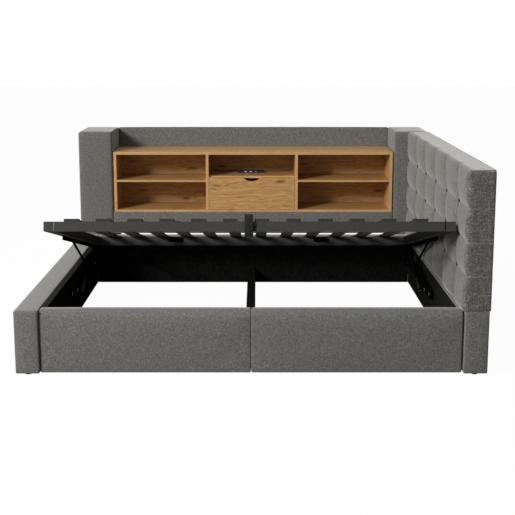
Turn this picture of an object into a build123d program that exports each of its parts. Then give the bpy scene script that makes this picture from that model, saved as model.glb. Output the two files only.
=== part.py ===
from build123d import *
import os
from math import acos, atan2, cos, degrees, hypot, radians, sin

# Upholstered storage bed with a tufted headboard on one side and a bookcase along the back.
# X runs from the foot end to the headboard, Y from the front to the bookcase, Z is up.
# The origin is on the floor under the centre of the footprint. All lengths are in millimetres.

os.makedirs("parts", exist_ok=True)

# Space for the mattress
mattress_length = 2032
mattress_width = 1930
mattress_end_gap = 15
mattress_side_gap = 6

# Base panels
foot_end_thickness = 116
headboard_base_thickness = 117
headboard_overhang = 4
base_height = 311
glide_height = 6
panel_edge_radius = 5
panel_end_ease = 3
front_recess = 14
front_panel_thickness = 71
front_panel_lift = 1
front_panel_left_gap = 3
front_panel_right_gap = 7
front_panel_seam_gap = 2
front_panel_radius = 12
front_panel_back_ease = 2
front_panel_crown = 4
rear_rail_thickness = 64
lining_thickness = 5
lining_recess = 3
lining_drop = 39

# Rear unit
post_depth = 412
post_width = 218
back_height = 987
apron_slit = 8
apron_height = 142
apron_thickness = 30
backboard_thickness = 32
bearer_width = 30
bearer_height = 25

# Bookcase
bookcase_gap = 8
bookcase_height = 396
bookcase_depth = 380
carcass_board = 18
bottom_board = 15
shelf_board = 12
center_shelf_board = 15
side_shelf_rise = 211
center_shelf_rise = 237
center_bay_width = 568
center_bay_shift = -8.5
compartment_depth = 351
back_panel_thickness = 8

# Drawer
drawer_front_gap = 2
drawer_front_thickness = 18
drawer_front_overlay = 8
drawer_shelf_gap = 1.5
drawer_side_gap = 12.7
drawer_side_thickness = 12
drawer_side_height = 150
drawer_box_rise = 12
drawer_box_length = 320
drawer_bottom_thickness = 6
drawer_bottom_rise = 8
finger_cut_width = 121
finger_cut_depth = 28
runner_height = 45
runner_length = 300
runner_rise = 63
runner_depth = 9
runner_wall = 1.5
runner_clearance = 0.6

# Power hub
hub_length = 180
hub_depth = 48
hub_height = 16
hub_setback = 183
hub_shift = -14
hub_edge_radius = 3
port_width = 14
port_height = 6
port_depth = 8
port_pitch = 34

# Tufted headboard
tuft_columns = 6
tuft_column_pitch = 362
tuft_row_pitch = 162
tuft_row_drop = 10
tuft_reach = 19.5
tuft_crown = 20
tuft_dimple_depth = 3
tuft_dimple_flare = 50
tuft_folds = 6
headboard_edge_radius = 20
headboard_edge_inset = 3
button_radius = 13
button_height = 7
button_chamfer = 2.5
button_sides = 10
button_seat_gap = 0.3

# Centre beam, glides and brackets
beam_width = 50
beam_height = 84
beam_lift = 14
tube_wall = 2
drain_hole_radius = 4
glide_radius = 14
glide_sides = 16
glide_inset = 60
glide_front_inset = 24
beam_glide_inset = 500
bracket_leg = 60
bracket_height = 140
bracket_bottom = 60
bracket_steel = 3
cleat_leg = 30
cleat_height = 60

# Platform frame
platform_shift = -11.5
platform_side_gap = 5.5
frame_front_gap = 41
frame_rear_gap = 92
frame_rise = 5.5
rail_height = 47.5
side_rail_width = 52
cross_rail_depth = 50
cross_rail_from_rear = 198
lift_angle = 13

# Slats and their holders
slat_count = 12
slat_pitch = 155.6
slat_shift = -17.5
slat_width = 66
slat_thickness = 11
slat_end_inset = 6
holder_wall = 3.2
holder_top = 2.5
holder_length = 50
holder_clearance = 0.3

# Small pieces on the platform, with the number of sides that small discs are drawn with
disc_sides = 16
strap_width = 42
strap_thickness = 3
strap_rise = 38.5
strap_drop = 30
strap_standoff = 12
strap_corner_radius = 30
strap_shift = -4
strap_stud_radius = 12
strap_stud_thickness = 8
strap_stud_shift = 17.5
strap_stud_drop = 15.5
rail_plug_radius = 10
rail_plug_height = 4
rail_plug_shift = -353
joint_plate_width = 82
joint_plate_height = 28
joint_plate_depth = 20
joint_plate_drop = 2
joint_plate_places = (-479, 435)
joint_bolt_radius = 6
joint_bolt_height = 4

# Lift linkage, with distances across the bed counted from the platform's centre line
pivot_from_rear = 128
pivot_height = 168
base_plate_thickness = 4
base_plate_height = 52
base_plate_end = 42
base_plate_corner_radius = 8
base_plate_lining_gap = 0.3
link_stud_forward = 900
link_stud_drop = 0
strut_stud_forward = 722.5
strut_stud_drop = 15.5
link_thickness = 4.5
link_width = 19
link_side_gap = 2
lower_link_length = 460
upper_link_length = 502
link_tab_forward = 940.5
link_tab_drop = 14
strut_tab_forward = 270
strut_tab_drop = 27.4
tab_thickness = 5
tab_width = 30
tab_round = 9
lift_bar_front = 1290
lift_bar_rear = 200
lift_bar_depth = 21
lift_bar_thickness = 3.4
stud_radius = 4
stud_head_radius = 8
stud_head_height = 3.5
stud_collar_radius = 7
running_clearance = 0.08
face_clearance = 0.4
knee_rivet_radius = 6.5
knee_rivet_height = 1
hinge_arm_thickness = 5
hinge_arm_boss_radius = 18
hinge_arm_front = 190
hinge_arm_back = 34
hinge_arm_flange = 28
hinge_arm_flange_thickness = 4
hinge_pin_radius = 6
hinge_pin_head_radius = 11

# Gas struts
strut_center_distance = 986
strut_eye_radius = 9
strut_eye_thickness = 10
strut_rod_radius = 4
strut_rod_inside = 200
strut_tube_radius = 10
strut_tube_bore = 8.5
strut_tube_length = 320
strut_neck_length = 30
strut_neck_radius = 4
strut_gland_length = 12
strut_piston_radius = 8.1
strut_piston_length = 14

# Outline of the base, from the foot end to the headboard and from the front to the back
inner_length = mattress_length + mattress_end_gap
inner_width = mattress_width + mattress_side_gap
overall_length = foot_end_thickness + inner_length + headboard_base_thickness + headboard_overhang
front_stack = front_recess + front_panel_thickness + lining_thickness
overall_width = front_stack + inner_width + rear_rail_thickness + post_depth

x_left = -overall_length / 2
x_inner_left = x_left + foot_end_thickness
x_inner_right = x_inner_left + inner_length
x_base_right = x_inner_right + headboard_base_thickness
x_right = x_base_right + headboard_overhang
x_middle = (x_inner_left + x_inner_right) / 2

y_front = -overall_width / 2
y_panel_front = y_front + front_recess
y_panel_back = y_panel_front + front_panel_thickness
y_inner_front = y_panel_back + lining_thickness
y_inner_rear = y_inner_front + inner_width
y_posts = y_inner_rear + rear_rail_thickness
y_back = y_posts + post_depth
y_backboard = y_back - backboard_thickness

z_base_bottom = glide_height
z_base_top = glide_height + base_height
z_lining_top = z_base_top - lining_drop
z_back_top = glide_height + back_height
z_apron_bottom = z_base_top + apron_slit
z_bookcase = z_apron_bottom + apron_height
z_bookcase_top = z_bookcase + bookcase_height

x_post_left = x_left + post_width
x_post_right = x_base_right - post_width

lining_rebate = lining_thickness + lining_recess
x_lining_left = x_inner_left - lining_recess
x_lining_right = x_inner_right + lining_recess


def middle(span):
    return (span[0] + span[1]) / 2


def save(piece, label):
    """Name a finished piece and write it as its own STEP file."""
    piece.part.label = label
    export_step(piece.part, f"parts/{label}.step")


def draw_block(x_span, y_span, z_span, plane=Plane.XY, mode=Mode.ADD):
    """Add or cut a plain block inside the part that is open, between three pairs of limits."""
    with BuildSketch(plane.offset(z_span[0])) as outline:
        with Locations((middle(x_span), middle(y_span))):
            Rectangle(x_span[1] - x_span[0], y_span[1] - y_span[0])
    extrude(outline.sketch, amount=z_span[1] - z_span[0], mode=mode)


def stud(plane, place, radius, length):
    """Add a round pin to the part that is open, upright on a plane."""
    with BuildSketch(plane) as outline:
        with Locations(place):
            Circle(radius)
    extrude(outline.sketch, amount=length)


def disc(plane, place, radius, length):
    """Add a small many-sided disc to the part that is open, upright on a plane."""
    with BuildSketch(plane) as outline:
        with Locations(place):
            RegularPolygon(radius, disc_sides)
    extrude(outline.sketch, amount=length)


def bolt_head(plane, place, radius, length):
    """Add a six-sided bolt head to the part that is open, upright on a plane."""
    with BuildSketch(plane) as outline:
        with Locations(place):
            RegularPolygon(radius, 6)
    extrude(outline.sketch, amount=length)


def board(label, x_span, y_span, z_span, plane=Plane.XY):
    """A flat board or panel with square edges."""
    with BuildPart() as piece:
        draw_block(x_span, y_span, z_span, plane)
    save(piece, label)


def tube(label, x_span, y_span, z_span, plane, drain):
    """A rectangular steel tube with welded ends and one drain hole in its underside."""
    w = tube_wall
    with BuildPart() as piece:
        draw_block(x_span, y_span, z_span, plane)
        draw_block(
            (x_span[0] + w, x_span[1] - w),
            (y_span[0] + w, y_span[1] - w),
            (z_span[0] + w, z_span[1] - w),
            plane,
            Mode.SUBTRACT,
        )
        with BuildSketch(plane.offset(z_span[0])):
            with Locations(drain):
                Circle(drain_hole_radius)
        extrude(amount=w, mode=Mode.SUBTRACT)
    save(piece, label)


def padded_board(label, x_span, y_span, z_span, long_axis, free_ends, rebates=()):
    """An upholstered board: round along its length, eased round its free ends, rebated for the linings."""
    with BuildPart() as piece:
        draw_block(x_span, y_span, z_span)
        fillet(piece.edges().filter_by(long_axis), panel_edge_radius)
        for end in free_ends:
            chamfer(piece.faces().sort_by(long_axis)[end].edges(), panel_end_ease)
        for rebate in rebates:
            draw_block(*rebate, mode=Mode.SUBTRACT)
    save(piece, label)


# Foot-end panel and headboard base, each rebated inside for its lining
lining_z = (z_base_bottom, z_lining_top)
padded_board(
    "foot_end_panel",
    (x_left, x_inner_left),
    (y_front, y_posts),
    (z_base_bottom, z_base_top),
    Axis.Y,
    (0,),
    [((x_inner_left - lining_rebate, x_inner_left), (y_panel_back, y_inner_rear), lining_z)],
)
padded_board(
    "headboard_base",
    (x_inner_right, x_base_right),
    (y_front, y_posts),
    (z_base_bottom, z_base_top),
    Axis.Y,
    (0,),
    [((x_inner_right, x_inner_right + lining_rebate), (y_panel_back, y_inner_rear), lining_z)],
)
padded_board(
    "rear_rail",
    (x_inner_left, x_inner_right),
    (y_inner_rear, y_posts),
    (z_base_bottom, z_base_top),
    Axis.X,
    (),
    [((x_inner_left, x_inner_right), (y_inner_rear, y_inner_rear + lining_thickness), lining_z)],
)


# Front panels: two padded cushions side by side, crowned along their length
def front_panel(label, x_span):
    crown_line = y_panel_front + front_panel_crown
    with BuildPart() as panel:
        with BuildSketch(Plane.XY.offset(z_base_bottom + front_panel_lift)):
            with BuildLine():
                Polyline(
                    (x_span[0], crown_line),
                    (x_span[0], y_panel_back),
                    (x_span[1], y_panel_back),
                    (x_span[1], crown_line),
                )
                ThreePointArc(
                    (x_span[1], crown_line), (middle(x_span), y_panel_front), (x_span[0], crown_line)
                )
            make_face()
        extrude(amount=base_height - front_panel_lift)
        fillet(panel.edges().filter_by(Axis.Z).group_by(Axis.Y)[0], front_panel_radius)
        top_edges = panel.faces().sort_by(Axis.Z)[-1].edges().sort_by(Axis.Y)
        fillet(top_edges[:-1], front_panel_radius)
        chamfer(panel.edges().filter_by(Axis.X).sort_by(Axis.Z)[-1], front_panel_back_ease)
    save(panel, label)


front_ends = (x_inner_left + front_panel_left_gap, x_inner_right - front_panel_right_gap)
front_left = (front_ends[0], middle(front_ends) - front_panel_seam_gap / 2)
front_right = (middle(front_ends) + front_panel_seam_gap / 2, front_ends[1])
front_panel("front_panel_left", front_left)
front_panel("front_panel_right", front_right)

# Linings of the storage space
board(
    "lining_left",
    (x_inner_left - lining_rebate, x_lining_left),
    (y_panel_back, y_inner_rear),
    lining_z,
)
board(
    "lining_right",
    (x_lining_right, x_inner_right + lining_rebate),
    (y_panel_back, y_inner_rear),
    lining_z,
)
board("lining_front", (x_inner_left, x_inner_right), (y_panel_back, y_inner_front), lining_z)
board(
    "lining_rear",
    (x_inner_left, x_inner_right),
    (y_inner_rear, y_inner_rear + lining_thickness),
    lining_z,
)

# Centre beam across the storage space, on its own glides
x_platform = platform_shift
beam_x = (x_platform - beam_width / 2, x_platform + beam_width / 2)
beam_z = (beam_lift, beam_lift + beam_height)
tube(
    "center_beam",
    beam_x,
    (y_inner_front, y_inner_rear),
    beam_z,
    Plane.XY,
    (x_platform, y_inner_front + beam_glide_inset / 2),
)

# Glides under the panels, the posts and the beam
glide_places = [(x, y) for x in (middle((x_left, x_inner_left)), middle((x_inner_right, x_base_right)))
                for y in (y_front + glide_front_inset, middle((y_front, y_posts)), y_posts - glide_inset)]
glide_places += [(x, y_back - glide_inset) for x in (middle((x_left, x_post_left)),
                                                     middle((x_post_right, x_right)))]
beam_glides = [(x_platform, y_inner_front + beam_glide_inset), (x_platform, y_inner_rear - beam_glide_inset)]
with BuildPart() as glides:
    with BuildSketch():
        with Locations(glide_places):
            RegularPolygon(glide_radius, glide_sides)
    extrude(amount=glide_height)
    with BuildSketch():
        with Locations(beam_glides):
            RegularPolygon(glide_radius, glide_sides)
    extrude(amount=beam_lift)
save(glides, "glides")

# Steel angles in the four inner corners, and cleats that hold the ends of the beam
bracket_z = (bracket_bottom, bracket_bottom + bracket_height)
cleat_z = (beam_z[0], beam_z[0] + cleat_height)
with BuildPart() as corner_brackets:
    for x_wall, x_way in ((x_lining_left, 1), (x_lining_right, -1)):
        for y_wall, y_way in ((y_inner_front, 1), (y_inner_rear, -1)):
            x_leg = sorted((x_wall, x_wall + x_way * bracket_leg))
            x_skin = sorted((x_wall, x_wall + x_way * bracket_steel))
            y_leg = sorted((y_wall, y_wall + y_way * bracket_leg))
            y_skin = sorted((y_wall, y_wall + y_way * bracket_steel))
            draw_block(x_skin, y_leg, bracket_z)
            draw_block(x_leg, y_skin, bracket_z)
    for x_wall, x_way in ((beam_x[0], -1), (beam_x[1], 1)):
        for y_wall, y_way in ((y_inner_front, 1), (y_inner_rear, -1)):
            x_leg = sorted((x_wall, x_wall + x_way * cleat_leg))
            x_skin = sorted((x_wall, x_wall + x_way * bracket_steel))
            y_leg = sorted((y_wall, y_wall + y_way * cleat_leg))
            y_skin = sorted((y_wall, y_wall + y_way * bracket_steel))
            draw_block(x_skin, y_leg, cleat_z)
            draw_block(x_leg, y_skin, cleat_z)
save(corner_brackets, "corner_brackets")

# Tufted headboard: crowned rows meet crowned columns, and each crossing is dimpled for a button
head_z = (z_base_top, z_back_top)
head_y = (y_front, y_posts)
x_crest = x_inner_right - tuft_reach
x_crease = x_crest + tuft_crown
tuft_rows = [middle(head_z) - tuft_row_drop + step * tuft_row_pitch for step in (-1, 0, 1)]
row_limits = [head_z[0], *tuft_rows, head_z[1]]
tuft_lines = [middle(head_y) + (step - tuft_columns / 2) * tuft_column_pitch for step in range(1, tuft_columns)]
column_limits = [head_y[0], *tuft_lines, head_y[1]]
tuft_places = [(y, z) for y in tuft_lines for z in tuft_rows]


def button_seat(y, z):
    """The flat floor of a dimple, facing the mattress."""
    return Plane(origin=(x_crease + tuft_dimple_depth, y, z), x_dir=(0, 1, 0), z_dir=(-1, 0, 0))


def quilted_outline(limits, place):
    """Close the outline of a slab whose inner side is a row of shallow arcs, rounded at its last limit."""
    *creases, end = limits
    way = 1 if end > creases[-1] else -1
    round_x = x_crest + headboard_edge_inset
    round_start = end - way * headboard_edge_radius
    round_bulge = headboard_edge_radius * (1 - sin(radians(45)))
    for low, high in zip(creases, creases[1:]):
        ThreePointArc(place(x_crease, low), place(x_crest, middle((low, high))), place(x_crease, high))
    ThreePointArc(
        place(x_crease, creases[-1]), place(x_crest, middle((creases[-1], end))), place(round_x, round_start)
    )
    ThreePointArc(
        place(round_x, round_start),
        place(round_x + round_bulge, end - way * round_bulge),
        place(round_x + headboard_edge_radius, end),
    )
    Polyline(
        place(round_x + headboard_edge_radius, end),
        place(x_right, end),
        place(x_right, limits[0]),
        place(x_crease, limits[0]),
    )


with BuildPart() as headboard_panel:
    with BuildSketch(Plane.XY.offset(head_z[0])):
        with BuildLine():
            quilted_outline(column_limits[::-1], lambda x, y: (x, y))
        make_face()
    extrude(amount=head_z[1] - head_z[0])
    with BuildSketch(Plane.XZ.offset(-head_y[0])):
        with BuildLine():
            quilted_outline(row_limits, lambda x, z: (x, z))
        make_face()
    extrude(amount=-(head_y[1] - head_y[0]), mode=Mode.INTERSECT)
    for y, z in tuft_places:
        with BuildSketch(button_seat(y, z)):
            RegularPolygon(button_radius + button_seat_gap, tuft_folds, major_radius=False)
        extrude(amount=tuft_dimple_depth + tuft_crown, taper=-tuft_dimple_flare, mode=Mode.SUBTRACT)
save(headboard_panel, "headboard_panel")

with BuildPart() as headboard_buttons:
    for y, z in tuft_places:
        with BuildSketch(button_seat(y, z)):
            RegularPolygon(button_radius, button_sides)
        extrude(amount=button_height)
    button_tops = headboard_buttons.faces().filter_by(Axis.X).group_by(Axis.X)[0]
    chamfer(button_tops.edges(), button_chamfer)
save(headboard_buttons, "headboard_buttons")

# Posts, backboard and apron of the rear unit
x_rear = (x_post_left, x_post_right)
y_apron = (y_posts, y_posts + apron_thickness)
z_post = (z_base_bottom, z_back_top)
padded_board("post_left", (x_left, x_post_left), (y_posts, y_back), z_post, Axis.Z, (-1,))
padded_board("post_right", (x_post_right, x_right), (y_posts, y_back), z_post, Axis.Z, (-1,))
padded_board("backboard", x_rear, (y_backboard, y_back), (z_apron_bottom, z_back_top), Axis.X, ())
padded_board("apron", x_rear, y_apron, (z_apron_bottom, z_bookcase), Axis.X, ())

# Bookcase boards
x_case = (x_post_left + bookcase_gap, x_post_right - bookcase_gap)
x_case_inner = (x_case[0] + carcass_board, x_case[1] - carcass_board)
y_case = (y_posts, y_posts + bookcase_depth)
y_case_back = y_posts + compartment_depth
z_floor = z_bookcase + bottom_board
z_ceiling = z_bookcase_top - carcass_board
x_bay = middle(x_case) + center_bay_shift
x_bay_inner = (x_bay - center_bay_width / 2, x_bay + center_bay_width / 2)
z_side_shelf = z_bookcase + side_shelf_rise
z_center_shelf = z_bookcase + center_shelf_rise
y_bay = (y_posts, y_case_back)

board("bookcase_top", x_case, y_case, (z_ceiling, z_bookcase_top))
board("bookcase_bottom", x_case, y_case, (z_bookcase, z_floor))
board("bookcase_side_left", (x_case[0], x_case_inner[0]), y_case, (z_floor, z_ceiling))
board("bookcase_side_right", (x_case_inner[1], x_case[1]), y_case, (z_floor, z_ceiling))
board(
    "bookcase_back",
    x_case_inner,
    (y_case_back, y_case_back + back_panel_thickness),
    (z_floor, z_ceiling),
)
board("divider_left", (x_bay_inner[0] - carcass_board, x_bay_inner[0]), y_bay, (z_floor, z_ceiling))
board("divider_right", (x_bay_inner[1], x_bay_inner[1] + carcass_board), y_bay, (z_floor, z_ceiling))
side_shelf_z = (z_side_shelf - shelf_board, z_side_shelf)
board("shelf_left", (x_case_inner[0], x_bay_inner[0] - carcass_board), y_bay, side_shelf_z)
board("shelf_right", (x_bay_inner[1] + carcass_board, x_case_inner[1]), y_bay, side_shelf_z)
y_drawer_front = (y_posts, y_posts + drawer_front_thickness)
z_center_shelf_under = z_center_shelf - center_shelf_board
board(
    "shelf_center",
    x_bay_inner,
    (y_drawer_front[1] + drawer_shelf_gap, y_case_back),
    (z_center_shelf_under, z_center_shelf),
)

# Bearers under the bookcase, from the apron to the backboard
bearer_centers = (x_post_left + bearer_width / 2, middle(x_case), x_post_right - bearer_width / 2)
with BuildPart() as bookcase_bearers:
    for x in bearer_centers:
        draw_block(
            (x - bearer_width / 2, x + bearer_width / 2),
            (y_posts + apron_thickness, y_backboard),
            (z_bookcase - bearer_height, z_bookcase),
        )
save(bookcase_bearers, "bookcase_bearers")

# Power hub on the centre shelf, with two charging ports and a round indicator
x_hub = x_platform + hub_shift + port_width / 2
y_hub = y_posts + hub_setback
hub_port_z = z_center_shelf + hub_height / 2
port_plane = Plane(origin=(x_hub, y_hub, hub_port_z), x_dir=(1, 0, 0), z_dir=(0, -1, 0))
port_places = [(-port_pitch, 0), (0, 0)]
indicator_place = (port_pitch, 0)


with BuildSketch(port_plane) as port_outline:
    with Locations(port_places):
        Rectangle(port_width, port_height)
    with Locations(indicator_place):
        Circle(port_height / 2)

with BuildPart() as power_hub:
    draw_block(
        (x_hub - hub_length / 2, x_hub + hub_length / 2),
        (y_hub, y_hub + hub_depth),
        (z_center_shelf, z_center_shelf + hub_height),
    )
    fillet(power_hub.edges().filter_by(Axis.Z), hub_edge_radius)
    extrude(port_outline.sketch, amount=-port_depth, mode=Mode.SUBTRACT)
save(power_hub, "power_hub")

with BuildPart() as power_hub_ports:
    extrude(port_outline.sketch, amount=-port_depth)
save(power_hub_ports, "power_hub_ports")

# Drawer front with a half-moon finger cut-out in its top edge
x_front = (x_bay_inner[0] + drawer_front_gap, x_bay_inner[1] - drawer_front_gap)
z_front = (z_floor + drawer_shelf_gap, z_center_shelf_under + drawer_front_overlay)
finger_radius = (finger_cut_width ** 2 / 4 + finger_cut_depth ** 2) / (2 * finger_cut_depth)
with BuildPart() as drawer_front:
    draw_block(x_front, y_drawer_front, z_front)
    with BuildSketch(Plane.XZ.offset(-y_drawer_front[0])):
        with Locations((x_bay, z_front[1] - finger_cut_depth + finger_radius)):
            Circle(finger_radius)
    extrude(amount=-drawer_front_thickness, mode=Mode.SUBTRACT)
save(drawer_front, "drawer_front")

# Drawer box behind the front, hung between its runners
x_drawer = (x_bay_inner[0] + drawer_side_gap, x_bay_inner[1] - drawer_side_gap)
x_drawer_inner = (x_drawer[0] + drawer_side_thickness, x_drawer[1] - drawer_side_thickness)
y_drawer = (y_drawer_front[1], y_drawer_front[1] + drawer_box_length)
z_drawer = (z_floor + drawer_box_rise, z_floor + drawer_box_rise + drawer_side_height)
z_drawer_bottom = (z_drawer[0] + drawer_bottom_rise, z_drawer[0] + drawer_bottom_rise + drawer_bottom_thickness)
board("drawer_side_left", (x_drawer[0], x_drawer_inner[0]), y_drawer, z_drawer)
board("drawer_side_right", (x_drawer_inner[1], x_drawer[1]), y_drawer, z_drawer)
board("drawer_back", x_drawer_inner, (y_drawer[1] - drawer_side_thickness, y_drawer[1]), z_drawer)
board("drawer_bottom", x_drawer_inner, (y_drawer[0], y_drawer[1] - drawer_side_thickness), z_drawer_bottom)

# Runners: a channel on each divider, and a bar on each drawer side that slides inside it
y_runner = (y_drawer[0], y_drawer[0] + runner_length)
z_runner = (z_floor + runner_rise, z_floor + runner_rise + runner_height)
z_runner_bar = (z_runner[0] + runner_wall + runner_clearance, z_runner[1] - runner_wall - runner_clearance)
with BuildPart() as drawer_runners_fixed:
    for x_wall, way in ((x_bay_inner[0], 1), (x_bay_inner[1], -1)):
        channel = sorted((x_wall, x_wall + way * runner_depth))
        hollow = sorted((x_wall + way * runner_wall, x_wall + way * runner_depth))
        draw_block(channel, y_runner, z_runner)
        draw_block(hollow, y_runner, (z_runner[0] + runner_wall, z_runner[1] - runner_wall), mode=Mode.SUBTRACT)
save(drawer_runners_fixed, "drawer_runners_fixed")

with BuildPart() as drawer_runners_moving:
    for x_wall, way in ((x_bay_inner[0], 1), (x_bay_inner[1], -1)):
        bar = sorted((x_wall + way * (runner_wall + runner_clearance), x_wall + way * drawer_side_gap))
        draw_block(bar, y_runner, z_runner_bar)
save(drawer_runners_moving, "drawer_runners_moving")

# Platform frame, drawn flat about its hinge line and then tipped up by the lift angle
y_pivot = y_inner_rear - pivot_from_rear
z_pivot = pivot_height
tip = radians(lift_angle)
platform = Plane(origin=(x_platform, y_pivot, z_pivot), x_dir=(1, 0, 0), z_dir=(0, sin(tip), cos(tip)))
half_frame = x_platform - x_inner_left - platform_side_gap
frame_y = (y_inner_front + frame_front_gap - y_pivot, y_inner_rear - frame_rear_gap - y_pivot)
frame_top = z_base_top + frame_rise - z_pivot
frame_z = (frame_top - rail_height, frame_top)
x_between = (-half_frame + side_rail_width, half_frame - side_rail_width)
cross_back = frame_y[1] - cross_rail_from_rear
cross_y = (cross_back - cross_rail_depth, cross_back)
front_rail_y = (frame_y[0], frame_y[0] + cross_rail_depth)
rear_rail_y = (frame_y[1] - cross_rail_depth, frame_y[1])


def drain_of(x_span, y_span):
    return (middle(x_span), middle(y_span))


for label, x_rail in (
    ("side_rail_left", (-half_frame, x_between[0])),
    ("side_rail_right", (x_between[1], half_frame)),
):
    tube(label, x_rail, frame_y, frame_z, platform, drain_of(x_rail, frame_y))
for label, y_rail in (
    ("platform_front_rail", front_rail_y),
    ("platform_cross_rail", cross_y),
    ("platform_rear_rail", rear_rail_y),
):
    tube(label, x_between, y_rail, frame_z, platform, drain_of(x_between, y_rail))

# Slats from the front rail to the rear rail, each end held down by a moulded cap
slat_centers = [slat_shift + (step - (slat_count - 1) / 2) * slat_pitch for step in range(slat_count)]
slat_y = (frame_y[0] + slat_end_inset, frame_y[1] - slat_end_inset)
with BuildPart() as slats:
    for x in slat_centers:
        draw_block(
            (x - slat_width / 2, x + slat_width / 2), slat_y, (frame_top, frame_top + slat_thickness), platform
        )
save(slats, "slats")

holder_half = slat_width / 2 + holder_wall
pocket_half = slat_width / 2 + holder_clearance
holder_ends = ((frame_y[0], frame_y[0] + holder_length), (frame_y[1] - holder_length, frame_y[1]))
with BuildPart() as slat_holders:
    for x in slat_centers:
        for holder_y in holder_ends:
            draw_block(
                (x - holder_half, x + holder_half),
                holder_y,
                (frame_top, frame_top + slat_thickness + holder_clearance + holder_top),
                platform,
            )
    for x in slat_centers:
        draw_block(
            (x - pocket_half, x + pocket_half),
            (slat_y[0] - holder_clearance, slat_y[1] + holder_clearance),
            (frame_top, frame_top + slat_thickness + holder_clearance),
            platform,
            Mode.SUBTRACT,
        )
save(slat_holders, "slat_holders")


# Side views of the linkage: flat pieces that stand upright at a distance from the centre line
def across(distance, side):
    return x_platform + side * distance


def upright(distance, side, y, z, angle=0):
    """A plane that faces +X, with its own X along a direction in the side view."""
    turn = radians(angle)
    return Plane(origin=(across(distance, side), y, z), x_dir=(0, cos(turn), sin(turn)), z_dir=(1, 0, 0))


def tipped(distance, side):
    """The upright plane whose own axes follow the lifted platform, about the hinge line."""
    return upright(distance, side, y_pivot, z_pivot, -lift_angle)


# Pull strap: a stiff loop of webbing round the middle of the front rail
strap_height = strap_drop + rail_height + strap_rise
strap_depth = strap_standoff + cross_rail_depth + 2 * strap_thickness
strap_middle = (
    front_rail_y[1] + strap_thickness - strap_depth / 2,
    frame_z[0] - strap_drop + strap_height / 2,
)
with BuildPart() as pull_strap:
    with BuildSketch(tipped(strap_shift - strap_width / 2, 1)):
        with Locations(strap_middle):
            RectangleRounded(strap_depth, strap_height, strap_corner_radius)
            RectangleRounded(
                strap_depth - 2 * strap_thickness,
                strap_height - 2 * strap_thickness,
                strap_corner_radius - strap_thickness,
                mode=Mode.SUBTRACT,
            )
    extrude(amount=strap_width)
save(pull_strap, "pull_strap")

# Round stud on the front rail at the strap's side, which keeps the strap from wandering
strap_stud_origin = platform.from_local_coords(Vector(strap_stud_shift, frame_y[0], frame_top - strap_stud_drop))
with BuildPart() as strap_stud:
    strap_stud_plane = Plane(origin=strap_stud_origin, x_dir=(1, 0, 0), z_dir=-platform.y_dir)
    disc(strap_stud_plane, (0, 0), strap_stud_radius, strap_stud_thickness)
save(strap_stud, "strap_stud")

# Plug in a hole in the top of the front rail
with BuildPart() as rail_plug:
    disc(platform.offset(frame_top), (rail_plug_shift, middle(front_rail_y)), rail_plug_radius, rail_plug_height)
save(rail_plug, "rail_plug")

# Joint plates bolted to the front of the cross rail
joint_z = (frame_top - joint_plate_drop - joint_plate_height, frame_top - joint_plate_drop)
joint_y = (cross_y[0] - joint_plate_depth, cross_y[0])
with BuildPart() as joint_plates:
    for x in joint_plate_places:
        draw_block((x - joint_plate_width / 2, x + joint_plate_width / 2), joint_y, joint_z, platform)
        for bolt_x in (x - joint_plate_width / 4, x + joint_plate_width / 4):
            bolt_origin = platform.from_local_coords(Vector(bolt_x, joint_y[0], middle(joint_z)))
            bolt_plane = Plane(origin=bolt_origin, x_dir=(1, 0, 0), z_dir=-platform.y_dir)
            bolt_head(bolt_plane, (0, 0), joint_bolt_radius, joint_bolt_height)
save(joint_plates, "joint_plates")

# Distances of the linkage's layers from the centre line, from the base plate inwards
wall_left = x_platform - x_lining_left
wall_right = x_lining_right - x_platform
plate_outer = wall_left - base_plate_lining_gap
plate_inner = plate_outer - base_plate_thickness
lower_outer = plate_inner - link_side_gap
lower_inner = lower_outer - link_thickness
upper_outer = lower_inner - link_side_gap
upper_inner = upper_outer - link_thickness
tab_outer = upper_inner - face_clearance
strut_eye_outer = strut_center_distance + strut_eye_thickness / 2
strut_eye_inner = strut_center_distance - strut_eye_thickness / 2
strut_tab_outer = strut_eye_outer + face_clearance + knee_rivet_height + tab_thickness
arm_outer = upper_outer
arm_inner = arm_outer - hinge_arm_thickness

# Places in the side view, as offsets from the hinge line
link_stud = (-link_stud_forward, -link_stud_drop)
strut_stud = (-strut_stud_forward, -strut_stud_drop)
link_tab = (-link_tab_forward, frame_z[0] - link_tab_drop)
strut_tab = (-strut_tab_forward, frame_z[0] - strut_tab_drop)


def lifted(place):
    """Where a point of the flat platform comes to when it is tipped up."""
    return (place[0] * cos(tip) + place[1] * sin(tip), place[1] * cos(tip) - place[0] * sin(tip))


# The knee is where the two links of fixed length meet
tab_now = lifted(link_tab)
tab_reach = hypot(tab_now[0] - link_stud[0], tab_now[1] - link_stud[1])
tab_bearing = atan2(tab_now[1] - link_stud[1], tab_now[0] - link_stud[0])
along = (lower_link_length ** 2 - upper_link_length ** 2 + tab_reach ** 2) / (2 * tab_reach)
lower_bearing = tab_bearing - acos(along / lower_link_length)
knee = (
    link_stud[0] + lower_link_length * cos(lower_bearing),
    link_stud[1] + lower_link_length * sin(lower_bearing),
)
upper_bearing = atan2(knee[1] - tab_now[1], knee[0] - tab_now[0])
strut_tab_now = lifted(strut_tab)
strut_length = hypot(strut_tab_now[0] - strut_stud[0], strut_tab_now[1] - strut_stud[1])
strut_bearing = atan2(strut_tab_now[1] - strut_stud[1], strut_tab_now[0] - strut_stud[0])

plate_y = (link_stud[0] - base_plate_end, base_plate_end)


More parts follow.
